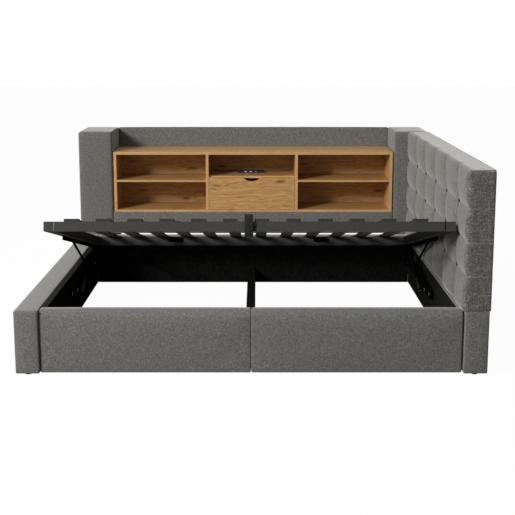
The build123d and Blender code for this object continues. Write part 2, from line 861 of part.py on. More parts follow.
def base_plate(label, side, wall):
    """A steel strip along the lining with its three studs, packed out where the lining is further off."""
    with BuildPart() as plate:
        with BuildSketch(upright(plate_outer, side, y_pivot, z_pivot)):
            with Locations((middle(plate_y), 0)):
                RectangleRounded(plate_y[1] - plate_y[0], base_plate_height, base_plate_corner_radius)
        extrude(amount=-side * base_plate_thickness)
        if wall > wall_left:
            with BuildSketch(upright(wall - base_plate_lining_gap, side, y_pivot, z_pivot)):
                with Locations((middle(plate_y), 0)):
                    Rectangle(plate_y[1] - plate_y[0] - base_plate_height, base_plate_height)
            extrude(amount=-side * (wall - wall_left))
        face = upright(plate_inner, side, y_pivot, z_pivot)
        for place, layer_outer, layer_inner, radius, head_radius in (
            (link_stud, lower_outer, lower_inner, stud_radius, stud_head_radius),
            (strut_stud, strut_eye_outer, strut_eye_inner, stud_radius, stud_head_radius),
            ((0, 0), arm_outer, arm_inner, hinge_pin_radius, hinge_pin_head_radius),
        ):
            collar = plate_inner - layer_outer - face_clearance
            head_start = plate_inner - layer_inner + face_clearance
            disc(face, place, radius + stud_collar_radius - stud_radius, -side * collar)
            stud(face, place, radius, -side * head_start)
            head_face = upright(layer_inner - face_clearance, side, y_pivot, z_pivot)
            bolt_head(head_face, place, head_radius, -side * stud_head_height)
    save(plate, label)


def hinge_arm(label, side):
    """A plate that hangs from the side rail down to the hinge pin, with a flange under the rail."""
    arm_span = hinge_arm_front + hinge_arm_back
    arm_middle = (hinge_arm_back - hinge_arm_front) / 2
    flange_height = frame_z[0] - hinge_arm_flange_thickness / 2
    with BuildPart() as arm:
        with BuildSketch(tipped(arm_outer, side)):
            Circle(hinge_arm_boss_radius)
            with Locations((arm_middle, flange_height)):
                Rectangle(arm_span, hinge_arm_flange_thickness)
            make_hull()
            Circle(hinge_pin_radius + running_clearance, mode=Mode.SUBTRACT)
        extrude(amount=-side * hinge_arm_thickness)
        with BuildSketch(tipped(arm_outer, side)):
            with Locations((arm_middle, flange_height)):
                Rectangle(arm_span, hinge_arm_flange_thickness)
        extrude(amount=-side * hinge_arm_flange)
    save(arm, label)


def link(label, side, outer, start, bearing, length, rivet_way):
    """A flat link from its pivot hole to the knee, where it carries a low rivet head."""
    y_start = y_pivot + start[0]
    z_start = z_pivot + start[1]
    rivet_base = outer if rivet_way > 0 else outer - link_thickness
    with BuildPart() as piece:
        with BuildSketch(upright(outer, side, y_start, z_start, degrees(bearing))):
            with Locations((length / 2, 0)):
                SlotCenterToCenter(length, link_width)
            Circle(stud_radius + running_clearance, mode=Mode.SUBTRACT)
        extrude(amount=-side * link_thickness)
        rivet_plane = upright(rivet_base, side, y_start, z_start, degrees(bearing))
        rivet_length = side * rivet_way * (link_side_gap / 2 - face_clearance)
        bolt_head(rivet_plane, (length, 0), knee_rivet_radius, rivet_length)
    save(piece, label)


def strut_rod(label, side):
    """The bright rod of a gas strut: an eye on the base plate's stud, and a piston inside the tube."""
    start = upright(strut_center_distance, side, y_pivot + strut_stud[0], z_pivot + strut_stud[1],
                    degrees(strut_bearing))
    rod_end = strut_length - strut_neck_length - strut_tube_length + strut_rod_inside
    with BuildPart() as rod:
        rod_axis = Plane(origin=start.origin, x_dir=(1, 0, 0), z_dir=start.x_dir)
        with BuildSketch(rod_axis):
            Circle(strut_rod_radius)
        extrude(amount=rod_end)
        with BuildSketch(rod_axis.offset(rod_end - strut_piston_length)):
            RegularPolygon(strut_piston_radius, disc_sides)
        extrude(amount=strut_piston_length)
        with BuildSketch(start):
            Circle(strut_eye_radius)
        extrude(amount=strut_eye_thickness / 2, both=True)
        with BuildSketch(start):
            Circle(stud_radius + running_clearance)
        extrude(amount=strut_eye_thickness, both=True, mode=Mode.SUBTRACT)
    save(rod, label)


def strut_cylinder(label, side):
    """The black tube of a gas strut, with a gland at the rod's end and an eye at the platform's end."""
    far = upright(strut_center_distance, side, y_pivot + strut_tab_now[0], z_pivot + strut_tab_now[1],
                  degrees(strut_bearing))
    tube_start = -strut_neck_length - strut_tube_length
    with BuildPart() as cylinder:
        axis = Plane(origin=far.origin, x_dir=(1, 0, 0), z_dir=far.x_dir)
        with BuildSketch(axis.offset(tube_start)):
            Circle(strut_tube_radius)
        extrude(amount=strut_tube_length)
        with BuildSketch(axis.offset(tube_start + strut_gland_length)):
            Circle(strut_tube_bore)
        extrude(amount=strut_tube_length - 2 * strut_gland_length, mode=Mode.SUBTRACT)
        with BuildSketch(axis.offset(tube_start)):
            Circle(strut_rod_radius + running_clearance)
        extrude(amount=strut_gland_length, mode=Mode.SUBTRACT)
        with BuildSketch(axis.offset(-strut_neck_length)):
            RegularPolygon(strut_neck_radius, disc_sides)
        extrude(amount=strut_neck_length)
        with BuildSketch(far):
            Circle(strut_eye_radius)
        extrude(amount=strut_eye_thickness / 2, both=True)
    save(cylinder, label)


for side, name, wall in ((-1, "left", wall_left), (1, "right", wall_right)):
    base_plate(f"base_plate_{name}", side, wall)
    hinge_arm(f"hinge_arm_{name}", side)
    link(f"lower_link_{name}", side, lower_outer, link_stud, lower_bearing, lower_link_length, -1)
    link(f"upper_link_{name}", side, upper_outer, tab_now, upper_bearing, upper_link_length, 1)
    strut_rod(f"strut_rod_{name}", side)
    strut_cylinder(f"strut_cylinder_{name}", side)

# Lift bars screwed under the side rails, each with a tab for the upper link and a tab for the strut
with BuildPart() as lift_bars:
    for side in (-1, 1):
        with BuildSketch(tipped(tab_outer, side)):
            with Locations((-middle((lift_bar_front, lift_bar_rear)), frame_z[0] - lift_bar_depth / 2)):
                Rectangle(lift_bar_front - lift_bar_rear, lift_bar_depth)
        extrude(amount=-side * lift_bar_thickness)
        for place, outer in ((link_tab, tab_outer), (strut_tab, strut_tab_outer)):
            with BuildSketch(tipped(outer, side)):
                with Locations(place):
                    Circle(tab_round)
                with Locations((place[0], frame_z[0] - tab_thickness / 2)):
                    Rectangle(tab_width, tab_thickness)
                make_hull()
            extrude(amount=-side * tab_thickness)
        link_face = tipped(tab_outer, side)
        stud(link_face, link_tab, stud_radius, side * (upper_outer + face_clearance - tab_outer))
        head_face = tipped(upper_outer + face_clearance, side)
        bolt_head(head_face, link_tab, stud_head_radius, side * (lower_inner - upper_outer - 2 * face_clearance))
        strut_face = tipped(strut_tab_outer - tab_thickness, side)
        bolt_head(strut_face, strut_tab, knee_rivet_radius, -side * knee_rivet_height)
save(lift_bars, "lift_bars")
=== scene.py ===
# %% [markdown]
# # Upholstered storage bed with a tufted headboard and a bookcase
# This file dresses a bed whose solids were made before in CAD. The solids give every place and size.
# Blender adds what the eye wants: soft padded forms, woven cloth, oak grain, powder coat and studio
# light. Each step says first what the piece is on the real bed, and then how it is made here.

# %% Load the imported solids
import math

import bmesh
import bpy
from mathutils import Matrix, Vector, noise


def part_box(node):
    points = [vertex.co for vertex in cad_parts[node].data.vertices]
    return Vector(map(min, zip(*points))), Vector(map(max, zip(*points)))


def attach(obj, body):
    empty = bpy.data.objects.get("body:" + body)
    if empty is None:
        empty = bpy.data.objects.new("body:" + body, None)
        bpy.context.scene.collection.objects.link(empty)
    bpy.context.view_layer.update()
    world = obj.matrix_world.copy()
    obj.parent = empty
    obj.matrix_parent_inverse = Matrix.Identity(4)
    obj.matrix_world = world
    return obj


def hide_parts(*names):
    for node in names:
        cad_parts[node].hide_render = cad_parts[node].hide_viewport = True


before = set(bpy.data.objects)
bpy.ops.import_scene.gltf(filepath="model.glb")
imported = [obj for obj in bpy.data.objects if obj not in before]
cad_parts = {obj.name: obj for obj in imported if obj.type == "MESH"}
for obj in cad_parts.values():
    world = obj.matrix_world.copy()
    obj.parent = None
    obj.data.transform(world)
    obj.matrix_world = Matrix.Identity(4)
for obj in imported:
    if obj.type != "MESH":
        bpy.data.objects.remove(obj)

scene = bpy.context.scene
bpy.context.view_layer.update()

# %% [markdown]
# ## The camera
# The photograph was taken from the front, a little above the bed, with a long lens. The vertical edges
# lean together slightly, so the camera is tipped down and not shifted. Distance, height and lens were
# found by fitting the corners of the solids to the same corners in the photograph.

# %% Make the camera
lens_mm = 77.1
sensor_mm = 36
tip_down_degrees = 11.35
camera_data = bpy.data.cameras.new("camera")
camera_data.lens = lens_mm
camera_data.sensor_width = sensor_mm
camera = bpy.data.objects.new("camera", camera_data)
camera.location = (0.0269, -6.3644, 1.6056)
camera.rotation_euler = (math.radians(90 - tip_down_degrees), 0, 0)
scene.collection.objects.link(camera)
scene.camera = camera
scene.view_settings.view_transform = "Standard"
print("camera at", tuple(round(c, 3) for c in camera.location), "with lens", camera_data.lens)

# %% [markdown]
# ## Colours and nodes
# A colour picked on a screen is written as sRGB hex, but the renderer counts in linear light, so one
# function turns the one into the other. A second one adds a shader node, sets its properties and fills
# its sockets with a value or a link, which keeps every material below short enough to read as a recipe.
# Many patterns are longer one way than the other, and a third one works out their scale.


# %% Helpers for colours and nodes
def linear(code):
    """An sRGB hex colour as the linear RGBA that a shader socket takes."""
    channels = [int(code[i:i + 2], 16) / 255 for i in (1, 3, 5)]
    return [c / 12.92 if c <= 0.04045 else ((c + 0.055) / 1.055) ** 2.4 for c in channels] + [1]


def add_node(tree, kind, inputs=None, stops=None, **settings):
    """Add one node with its properties, its ramp stops, and a value or a link on its sockets."""
    made = tree.nodes.new(kind)
    for name, value in settings.items():
        setattr(made, name, value)
    for i, (place, code) in enumerate(stops or []):
        ramp = made.color_ramp
        stop = ramp.elements[i] if i < 2 else ramp.elements.new(place)
        stop.position = place
        stop.color = linear(code)
    for name, value in (inputs or {}).items():
        if isinstance(value, bpy.types.NodeSocket):
            tree.links.new(value, made.inputs[name])
        else:
            made.inputs[name].default_value = value
    return made


def stretched(across, along, axis):
    """The scale of a pattern whose marks are so many metres wide across an axis and long along it."""
    scale = [1 / across] * 3
    scale[axis] = 1 / along
    return scale


def new_material(name):
    """A material whose tree is empty, ready for a recipe."""
    material = bpy.data.materials.new(name)
    material.use_nodes = True
    material.node_tree.nodes.clear()
    return material, material.node_tree


def finish_material(tree, inputs):
    """Close a recipe with the one shader that most finishes use."""
    shader = add_node(tree, "ShaderNodeBsdfPrincipled", inputs)
    add_node(tree, "ShaderNodeOutputMaterial", {"Surface": shader.outputs[0]})


print("grey card #767676 is", round(linear("#767676")[0], 3), "in linear light")

# %% [markdown]
# ## Floor, sky and lamps
# The bed stands in a white studio. The floor shows white to the camera and in reflections, and mixes in
# a little plain diffuse so that it still takes the bed's shadow. To all other rays it is a mid grey, so
# it throws back only as much light as the shaded undersides in the photograph have.


# %% Find the rays that should see white
def seen_rays(tree):
    """1 for rays from the camera, from a mirror and through glass, and 0 for rays that carry light."""
    path = add_node(tree, "ShaderNodeLightPath")
    seen = path.outputs["Is Camera Ray"]
    for other in ("Is Glossy Ray", "Is Transmission Ray"):
        either = add_node(tree, "ShaderNodeMath", {0: seen, 1: path.outputs[other]}, operation="MAXIMUM")
        seen = either.outputs[0]
    return seen


plain_white = linear("#ffffff")
print("white for cameras, mirrors and glass:", plain_white)

# %% Make the floor
floor_glow = 0.97
floor_reach = 30
floor_material, tree = new_material("studio_floor_paint")
grey = add_node(tree, "ShaderNodeBsdfDiffuse", {"Color": linear("#3e3e3d")})
pale = add_node(tree, "ShaderNodeBsdfDiffuse", {"Color": plain_white})
white = add_node(tree, "ShaderNodeEmission", {"Color": plain_white, "Strength": 1.0})
shadowed = add_node(tree, "ShaderNodeMixShader", {0: floor_glow, 1: pale.outputs[0], 2: white.outputs[0]})
floor_mix = add_node(tree, "ShaderNodeMixShader",
                     {0: seen_rays(tree), 1: grey.outputs[0], 2: shadowed.outputs[0]})
add_node(tree, "ShaderNodeOutputMaterial", {"Surface": floor_mix.outputs[0]})

floor_mesh = bpy.data.meshes.new("studio_floor")
sheet = bmesh.new()
bmesh.ops.create_grid(sheet, x_segments=1, y_segments=1, size=floor_reach)
sheet.to_mesh(floor_mesh)
sheet.free()
floor = bpy.data.objects.new("studio_floor", floor_mesh)
floor.data.materials.append(floor_material)
scene.collection.objects.link(floor)
print("floor laid, metres across:", 2 * floor_reach)

# %% Make the sky
sky_strength = 0.17
world = bpy.data.worlds.new("studio_sky")
scene.world = world
world.use_nodes = True
tree = world.node_tree
tree.nodes.clear()
sky = add_node(tree, "ShaderNodeBackground", {"Color": plain_white, "Strength": sky_strength})
backdrop = add_node(tree, "ShaderNodeBackground", {"Color": plain_white, "Strength": 1.0})
sky_mix = add_node(tree, "ShaderNodeMixShader", {0: seen_rays(tree), 1: sky.outputs[0], 2: backdrop.outputs[0]})
add_node(tree, "ShaderNodeOutputWorld", {"Surface": sky_mix.outputs[0]})
print("sky made:", world.name)

# %% [markdown]
# The light comes from the left: the left post throws a shadow on the backboard, and light lies on the
# shelves but not on the backs of the compartments, so the lamp hangs low. It is a large soft box in
# front, and its light fades a little towards the right. A second, wider lamp further to the left
# brightens the tufted side of the headboard and the tops, which the camera sees at a glancing angle. A
# low lamp behind the bed adds almost nothing to this picture, and is there for whoever looks at the back.
# A lamp shines along its own minus Z axis, so each is turned until its Z axis points at where it hangs.


# %% Hang the lamps
def hang_lamp(name, kind, direction, energy):
    """A lamp that shines at the bed from a direction."""
    lamp = bpy.data.lights.new(name, kind)
    lamp.energy = energy
    holder = bpy.data.objects.new(name, lamp)
    holder.rotation_euler = direction.to_track_quat("Z", "Y").to_euler()
    scene.collection.objects.link(holder)
    return holder


softbox_way = Vector((-0.60, -0.68, 0.42)).normalized()
softbox_distance = 9
middle_of_bed = Vector((0, 0, 0.4))
softbox = hang_lamp("softbox", "AREA", softbox_way, 600)
softbox.data.shape = "SQUARE"
softbox.data.size = 1.8
softbox.location = softbox_way * softbox_distance + middle_of_bed
side_light = hang_lamp("side_light", "SUN", Vector((-1.0, -0.20, 0.26)), 1.3)
side_light.data.angle = math.radians(50)
rear_light = hang_lamp("rear_light", "SUN", Vector((-0.25, 1.0, -0.06)), 0.6)
rear_light.data.angle = math.radians(20)
print("lamps hung:", softbox.name, side_light.name, rear_light.name)

# %% [markdown]
# ## Linen-look upholstery
# The cover is a polyester cloth woven to look like linen: threads of uneven thickness, called slubs, in
# several greys, crossing at right angles. Short fibres stand off the yarn, so the cloth looks dark from
# straight ahead and light at a glancing angle, which is what the shader's sheen does.
# Real threads lie 0.6 mm apart, too fine for a picture where one pixel is 5 mm, so the slubs are drawn
# 3 to 5 mm thick and 15 to 40 mm long, longest on the headboard. Three noises, each stretched along one
# axis, cross on every face whichever way it points, so no unwrapping is needed. The buttons get darker
# yarn and less sheen than the cloth round them, as painted shade for the shadow in their hollows.


# %% Weave the cloth
fibre_size = 0.009
slub_share = 0.72


def linen(name, stops, slub_length, slub_width, relief, sheen, sheen_spread=0.42):
    """A slubby plain weave with streaks of uneven yarn along all three axes, in metres."""
    material, tree = new_material(name)
    place = add_node(tree, "ShaderNodeTexCoord").outputs["Object"]
    yarns = []
    for axis in range(3):
        yarn = add_node(tree, "ShaderNodeMapping",
                        {"Vector": place, "Scale": stretched(slub_width, slub_length, axis)})
        yarns.append(add_node(tree, "ShaderNodeTexNoise", {
            "Vector": yarn.outputs[0], "Scale": 1.0, "Detail": 2.5, "Roughness": 0.62}).outputs[0])
    pair = add_node(tree, "ShaderNodeMath", {0: yarns[0], 1: yarns[1]}, operation="ADD")
    crossed = add_node(tree, "ShaderNodeMath", {0: pair.outputs[0], 1: yarns[2]}, operation="ADD")
    weave = add_node(tree, "ShaderNodeMath", {0: crossed.outputs[0], 1: 1 / 3}, operation="MULTIPLY")
    fibre = add_node(tree, "ShaderNodeTexNoise", {"Vector": place, "Scale": 1 / fibre_size, "Detail": 3.0})
    mottle = add_node(tree, "ShaderNodeMath", {0: weave.outputs[0], 1: slub_share}, operation="MULTIPLY")
    mottled = add_node(tree, "ShaderNodeMath", {0: fibre.outputs[0], 1: 1 - slub_share, 2: mottle.outputs[0]},
                       operation="MULTIPLY_ADD")
    colour = add_node(tree, "ShaderNodeValToRGB", {"Fac": mottled.outputs[0]}, stops)
    bump = add_node(tree, "ShaderNodeBump",
                    {"Height": weave.outputs[0], "Strength": 0.7, "Distance": relief})
    finish_material(tree, {
        "Base Color": colour.outputs[0], "Roughness": 0.92, "Specular IOR Level": 0.25,
        "Sheen Weight": sheen, "Sheen Roughness": sheen_spread, "Sheen Tint": linear("#fbf9f5"),
        "Normal": bump.outputs[0]})
    return material


cover_cloth = linen("linen_look_cover", [(0.36, "#4e4d4b"), (0.5, "#6f6e6b"), (0.64, "#91908c")],
                    slub_length=0.015, slub_width=0.0028, relief=0.0010, sheen=0.55)
# Painted shade: the button cloth is darker and duller than the cover, for the shadow in the button hollows.
button_cloth_painted_shade = linen("linen_look_buttons_painted_shade", [(0.36, "#1d1c1b"), (0.5, "#292826"), (0.64, "#3a3936")],
                     slub_length=0.006, slub_width=0.0020, relief=0.0005, sheen=0.15)
headboard_cloth = linen("linen_look_headboard", [(0.36, "#2f2e2c"), (0.5, "#5b5956"), (0.63, "#96928c")],
                        slub_length=0.040, slub_width=0.0048, relief=0.0020, sheen=0.62, sheen_spread=0.52)
print("cloths woven:", cover_cloth.name, headboard_cloth.name, button_cloth_painted_shade.name)

# %% [markdown]
# ## Black lining
# The storage space is lined with thin black laminated board. It swallows almost all light, so it has a
# very dark base, a dull surface and a fine relief. Its gloss is off: even a little would mirror the
# white studio at a glancing angle, and the photograph shows the lining plain black.

# %% Mix the lining
peel_size = 0.012
lining_film, tree = new_material("black_laminate_lining")
place = add_node(tree, "ShaderNodeTexCoord").outputs["Object"]
peel = add_node(tree, "ShaderNodeTexNoise", {"Vector": place, "Scale": 1 / peel_size, "Detail": 2.0})
tone = add_node(tree, "ShaderNodeValToRGB", {"Fac": peel.outputs[0]}, [(0.35, "#201f1e"), (0.65, "#2b2b29")])
bump = add_node(tree, "ShaderNodeBump", {"Height": peel.outputs[0], "Strength": 0.25, "Distance": 0.0006})
finish_material(tree, {"Base Color": tone.outputs[0], "Roughness": 0.85, "Specular IOR Level": 0.0,
                       "Normal": bump.outputs[0]})
print("lining mixed:", lining_film.name)

# %% [markdown]
# ## Oak laminate
# The bookcase is chipboard with an oak-grain laminate: warm mid brown with long wandering grain, darker
# pore lines and a few knots, and lighter edge banding on the front edges. The grain is a noise stretched
# along the board, 11 mm across and 420 mm along. Knots are the middles of the cells of a Voronoi
# texture, stretched the same way, which also bend the grain round them. Real pores are 0.3 mm wide, too
# fine to show, so they are drawn 3.5 mm wide.


# %% Print the oak grain
def oak(name, grain_axis, banded):
    """Oak-grain laminate with the grain along one axis, and pale edge banding where it faces front."""
    material, tree = new_material(name)
    coordinates = add_node(tree, "ShaderNodeTexCoord")
    place = coordinates.outputs["Object"]
    drift = add_node(tree, "ShaderNodeTexNoise", {"Vector": place, "Scale": 3.2, "Detail": 1.0})
    wander = add_node(tree, "ShaderNodeVectorMath", {0: drift.outputs["Color"], 1: (0.09, 0.09, 0.09)},
                      operation="MULTIPLY")
    bent = add_node(tree, "ShaderNodeVectorMath", {0: place, 1: wander.outputs[0]}, operation="ADD")
    cells = add_node(tree, "ShaderNodeMapping",
                     {"Vector": bent.outputs[0], "Scale": stretched(0.075, 0.30, grain_axis)})
    knots = add_node(tree, "ShaderNodeTexVoronoi",
                     {"Vector": cells.outputs[0], "Scale": 1.0, "Randomness": 1.0}).outputs["Distance"]
    near = add_node(tree, "ShaderNodeMapRange", {"Value": knots, 1: 0.0, 2: 0.32, 3: 1.0, 4: 0.0},
                    interpolation_type="SMOOTHSTEP")
    heart = add_node(tree, "ShaderNodeMapRange", {"Value": knots, 1: 0.03, 2: 0.19, 3: 0.9, 4: 0.0},
                     interpolation_type="SMOOTHSTEP")
    shift = add_node(tree, "ShaderNodeMath", {0: near.outputs[0], 1: 0.022}, operation="MULTIPLY")
    shoved = add_node(tree, "ShaderNodeVectorMath", {0: bent.outputs[0], 1: shift.outputs[0]}, operation="ADD")
    lines = add_node(tree, "ShaderNodeMapping",
                     {"Vector": shoved.outputs[0], "Scale": stretched(0.011, 0.42, grain_axis)})
    grain = add_node(tree, "ShaderNodeTexNoise", {
        "Vector": lines.outputs[0], "Scale": 1.0, "Detail": 5.0, "Roughness": 0.6, "Distortion": 0.35})
    thin = add_node(tree, "ShaderNodeMapping",
                    {"Vector": bent.outputs[0], "Scale": stretched(0.0035, 0.06, grain_axis)})
    pores = add_node(tree, "ShaderNodeTexNoise", {"Vector": thin.outputs[0], "Scale": 1.0, "Detail": 2.0})
    wood = add_node(tree, "ShaderNodeValToRGB", {"Fac": grain.outputs[0]},
                    [(0.28, "#a2743f"), (0.42, "#bd8f56"), (0.56, "#cda069"), (0.74, "#d9af79")])
    flecks = add_node(tree, "ShaderNodeMapRange",
                      {"Value": pores.outputs[0], 1: 0.30, 2: 0.52, 3: 0.72, 4: 1.0})
    fleck_grey = add_node(tree, "ShaderNodeCombineColor", {
        0: flecks.outputs[0], 1: flecks.outputs[0], 2: flecks.outputs[0]})
    pored = add_node(tree, "ShaderNodeMix", {0: 1.0, 6: wood.outputs[0], 7: fleck_grey.outputs[0]},
                     data_type="RGBA", blend_type="MULTIPLY")
    knotted = add_node(tree, "ShaderNodeMix", {0: heart.outputs[0], 6: pored.outputs[2], 7: linear("#6b4320")},
                       data_type="RGBA")
    colour = knotted.outputs[2]
    if banded:
        facing = add_node(tree, "ShaderNodeSeparateXYZ", {0: coordinates.outputs["Normal"]})
        front = add_node(tree, "ShaderNodeMath", {0: facing.outputs["Y"], 1: -0.9}, operation="LESS_THAN")
        band = add_node(tree, "ShaderNodeMix", {0: 0.45, 6: colour, 7: linear("#dcb07c")}, data_type="RGBA")
        colour = add_node(tree, "ShaderNodeMix", {0: front.outputs[0], 6: colour, 7: band.outputs[2]},
                          data_type="RGBA").outputs[2]
    bump = add_node(tree, "ShaderNodeBump", {"Height": flecks.outputs[0], "Strength": 0.25, "Distance": 0.0003})
    finish_material(tree, {"Base Color": colour, "Roughness": 0.5, "Specular IOR Level": 0.35,
                           "Normal": bump.outputs[0]})
    return material


along_x, along_z = 0, 2
oak_level = oak("oak_laminate_level_boards", along_x, True)
oak_upright = oak("oak_laminate_upright_boards", along_z, True)
oak_front = oak("oak_laminate_drawer_front", along_x, False)
print("oak printed:", oak_level.name, oak_upright.name, oak_front.name)

# %% [markdown]
# ## Metals, plastics and the rest
# The linkage is powder coated in black, the centre beam and its brackets are painted, and the drawer
# runners, washers and rivets are zinc plated. A powder coat is a plastic skin with a fine orange peel:
# the default IOR, a roughness near one half and a small bump. The bare metals are fully metallic. The
# black pieces have their gloss turned off, because it would mirror the white studio at a glancing angle.


# %% Coat and mould the small parts
def plain_finish(name, low, high, grain, roughness, relief, metallic=0.0, gloss=0.2):
    """A nearly even finish: two close tones over a fine noise that also raises the surface."""
    material, tree = new_material(name)
    place = add_node(tree, "ShaderNodeTexCoord").outputs["Object"]
    skin = add_node(tree, "ShaderNodeTexNoise", {"Vector": place, "Scale": 1 / grain, "Detail": 2.0})
    tone = add_node(tree, "ShaderNodeValToRGB", {"Fac": skin.outputs[0]}, [(0.35, low), (0.65, high)])
    worn = add_node(tree, "ShaderNodeMapRange",
                    {"Value": skin.outputs[0], 1: 0.3, 2: 0.7, 3: roughness - 0.06, 4: roughness + 0.06})
    bump = add_node(tree, "ShaderNodeBump", {"Height": skin.outputs[0], "Strength": 0.3, "Distance": relief})
    finish_material(tree, {"Base Color": tone.outputs[0], "Roughness": worn.outputs[0],
                           "Metallic": metallic, "Specular IOR Level": gloss,
                           "Normal": bump.outputs[0]})
    return material


beam_coat = plain_finish("black_painted_beam", "#1f1f1e", "#2a2a28", 0.004, 0.7, 0.0002, gloss=0.0)
link_coat = plain_finish("black_powder_coat", "#0b0b0a", "#121211", 0.004, 0.6, 0.0002, gloss=0.0)
zinc_plate = plain_finish("zinc_plated_steel", "#9b9b98", "#b4b4b1", 0.006, 0.36, 0.0001, 1.0, 0.5)
nitrided_rod = plain_finish("nitrided_piston_rod", "#1c1c1c", "#262626", 0.01, 0.3, 0.00005, 1.0, 0.5)
strut_paint = plain_finish("black_strut_lacquer", "#0e0e0e", "#141414", 0.01, 0.35, 0.0001, gloss=0.0)
holder_plastic = plain_finish("grey_moulded_polypropylene", "#343431", "#3e3d3a", 0.003, 0.55, 0.0002,
                              gloss=0.06)
glide_plastic = plain_finish("black_moulded_glides", "#1c1c1b", "#262625", 0.003, 0.6, 0.0002)
hub_plastic = plain_finish("black_satin_abs", "#1b1b1c", "#232324", 0.002, 0.4, 0.0001)
port_plastic = plain_finish("white_port_tongue", "#cfd2d4", "#dfe1e2", 0.002, 0.45, 0.0001)
# Painted highlight: a pale grey for the weld bead at the left corner, where it catches the lamp.
bead_painted_highlight = plain_finish("weld_line_painted_highlight", "#8b8a87", "#a3a29e", 0.002, 0.5, 0.0002)
sewing_thread = plain_finish("polyester_sewing_thread", "#3a3937", "#4a4946", 0.001, 0.8, 0.0001, gloss=0.1)
small_finishes = [beam_coat, link_coat, zinc_plate, nitrided_rod, strut_paint, holder_plastic, glide_plastic,
                  hub_plastic, port_plastic, bead_painted_highlight, sewing_thread]
print("finishes mixed:", len(small_finishes))

# %% [markdown]
# The platform frame is powder coated grey. The faces that look down or towards the middle of the bed
# get a near-black painted shade, for the deep shade under and inside the raised platform, where the front
# rail above them is grey. The face's own direction on the piece chooses between the two.

# %% Spray the platform frame
orange_peel_size = 0.004
frame_coat, tree = new_material("grey_powder_coat_with_painted_shade")
coordinates = add_node(tree, "ShaderNodeTexCoord")
skin = add_node(tree, "ShaderNodeTexNoise",
                {"Vector": coordinates.outputs["Object"], "Scale": 1 / orange_peel_size, "Detail": 2.0})
coat = add_node(tree, "ShaderNodeValToRGB", {"Fac": skin.outputs[0]}, [(0.35, "#403f3d"), (0.65, "#4b4a48")])
# Painted shade: faces that look down or towards the middle of the bed are mixed to near black.
facing = add_node(tree, "ShaderNodeSeparateXYZ", {0: coordinates.outputs["Normal"]})
where = add_node(tree, "ShaderNodeSeparateXYZ", {0: coordinates.outputs["Object"]})
down = add_node(tree, "ShaderNodeMath", {0: facing.outputs["Z"], 1: -0.7}, operation="LESS_THAN")
sideways = add_node(tree, "ShaderNodeMath", {0: facing.outputs["X"], 1: where.outputs["X"]},
                    operation="MULTIPLY")
inwards = add_node(tree, "ShaderNodeMath", {0: sideways.outputs[0], 1: -0.5}, operation="LESS_THAN")
painted_shade_mask = add_node(tree, "ShaderNodeMath", {0: down.outputs[0], 1: inwards.outputs[0]}, operation="MAXIMUM")
coat_and_painted_shade = add_node(tree, "ShaderNodeMix", {0: painted_shade_mask.outputs[0], 6: coat.outputs[0], 7: linear("#0d0d0c")},
                   data_type="RGBA")
bump = add_node(tree, "ShaderNodeBump", {"Height": skin.outputs[0], "Strength": 0.3, "Distance": 0.0002})
finish_material(tree, {"Base Color": coat_and_painted_shade.outputs[2], "Roughness": 0.6, "Specular IOR Level": 0.04,
                       "Normal": bump.outputs[0]})
print("frame sprayed:", frame_coat.name)

# %% [markdown]
# The slats are sprung birch plywood, pale on top. Their undersides and edges get a near-black painted
# shade, for the shade under the platform. The painted shade is chosen by which way the face points on the
# piece itself.

# %% Mix the slats and the softwood
slat_wood, tree = new_material("birch_plywood_slats")
coordinates = add_node(tree, "ShaderNodeTexCoord")
veneer_marks = (1 / 0.006, 1 / 0.25, 1 / 0.002)
lengthwise = add_node(tree, "ShaderNodeMapping",
                      {"Vector": coordinates.outputs["Object"], "Scale": veneer_marks})
veneer = add_node(tree, "ShaderNodeTexNoise", {"Vector": lengthwise.outputs[0], "Scale": 1.0, "Detail": 3.0})
tone = add_node(tree, "ShaderNodeValToRGB", {"Fac": veneer.outputs[0]}, [(0.3, "#b99a72"), (0.7, "#d9c09a")])
# Painted shade: faces that do not look up are mixed to near black.
facing = add_node(tree, "ShaderNodeSeparateXYZ", {0: coordinates.outputs["Normal"]})
below = add_node(tree, "ShaderNodeMapRange", {"Value": facing.outputs["Z"], 1: 0.0, 2: 0.8, 3: 1.0, 4: 0.0})
slat_painted_shade = add_node(tree, "ShaderNodeMix", {0: below.outputs[0], 6: tone.outputs[0], 7: linear("#0f0d0b")},
                   data_type="RGBA")
bump = add_node(tree, "ShaderNodeBump", {"Height": veneer.outputs[0], "Strength": 0.2, "Distance": 0.0003})
finish_material(tree, {"Base Color": slat_painted_shade.outputs[2], "Roughness": 0.55, "Specular IOR Level": 0.03,
                       "Normal": bump.outputs[0]})

pine_batten = plain_finish("pine_bearers", "#b48f5d", "#cdb07f", 0.02, 0.7, 0.0004)
print("slats mixed:", slat_wood.name)

# %% [markdown]
# The strap is polyester webbing, woven in ribs that run along it. A wave texture across its width gives
# the ribs. Real ones are 1 mm apart, and these are drawn 5 mm apart so that they show. At a scale of 1
# the texture runs through twenty radians of wave in each metre, so its bands are 0.31 m apart.

